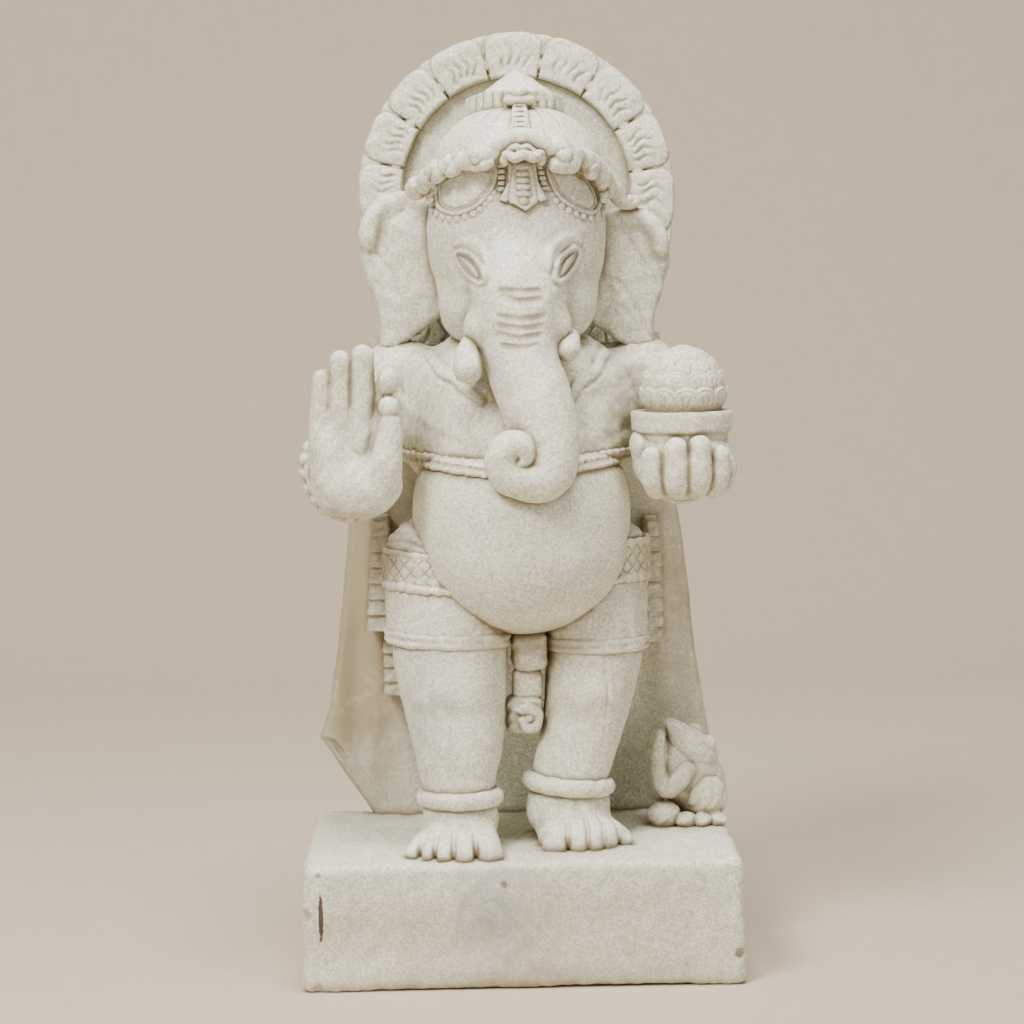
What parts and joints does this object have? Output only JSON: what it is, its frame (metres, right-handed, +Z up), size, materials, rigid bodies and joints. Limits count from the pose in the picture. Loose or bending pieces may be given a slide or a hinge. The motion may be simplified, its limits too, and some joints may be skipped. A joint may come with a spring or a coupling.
{
  "type": "carved idol statue",
  "caption": "Standing elephant-headed idol carved in the round in white marble on a block plinth, with a petalled halo, mantle, bowl of sweets and a small mouse.",
  "frame": {"origin": "middle of the plinth's underside", "axes": "+Z up, +X to the figure's own left, +Y towards the figure's back"},
  "size_m": [0.278, 0.19, 0.61],
  "materials": {
    "marble": "matte, hand-rubbed, with worn edges and brown patina in the cuts"
  },
  "bodies": {
    "root": {"anklets": "marble", "back_core": "marble", "bangles": "marble", "belly": "marble", "bowl": "marble", "brows": "marble", "chest": "marble", "chest_cord": "marble", "crown_band": "marble", "crown_finial": "marble", "crown_knot": "marble", "crown_ring": "marble", "crown_scrolls": "marble", "crown_strap": "marble", "ear_rims": "marble", "eyes": "marble", "forehead_pendant": "marble", "halo_petal_tips": "marble", "halo_petals": "marble", "halo_plate": "marble", "head": "marble", "heap_scales": "marble", "hems": "marble", "hip_bands": "marble", "left_ear": "marble", "left_fingers": "marble", "left_foot": "marble", "left_forearm": "marble", "left_leg": "marble", "left_palm": "marble", "left_thigh_cloth": "marble", "left_tusk": "marble", "left_upper_arm": "marble", "mantle": "marble", "mouse_body": "marble", "mouse_head": "marble", "mouse_limbs": "marble", "pendant_beads": "marble", "plaque_beads": "marble", "plaque_rims": "marble", "plaques": "marble", "plinth": "marble", "right_ear": "marble", "right_fingers": "marble", "right_foot": "marble", "right_forearm": "marble", "right_leg": "marble", "right_palm": "marble", "right_thigh_cloth": "marble", "right_thumb": "marble", "right_tusk": "marble", "right_upper_arm": "marble", "sash": "marble", "shoulders": "marble", "skull_cap": "marble", "sweet_heap": "marble", "tassels": "marble", "toes": "marble", "trunk": "marble", "trunk_curl": "marble"}
  },
  "joints": []
}
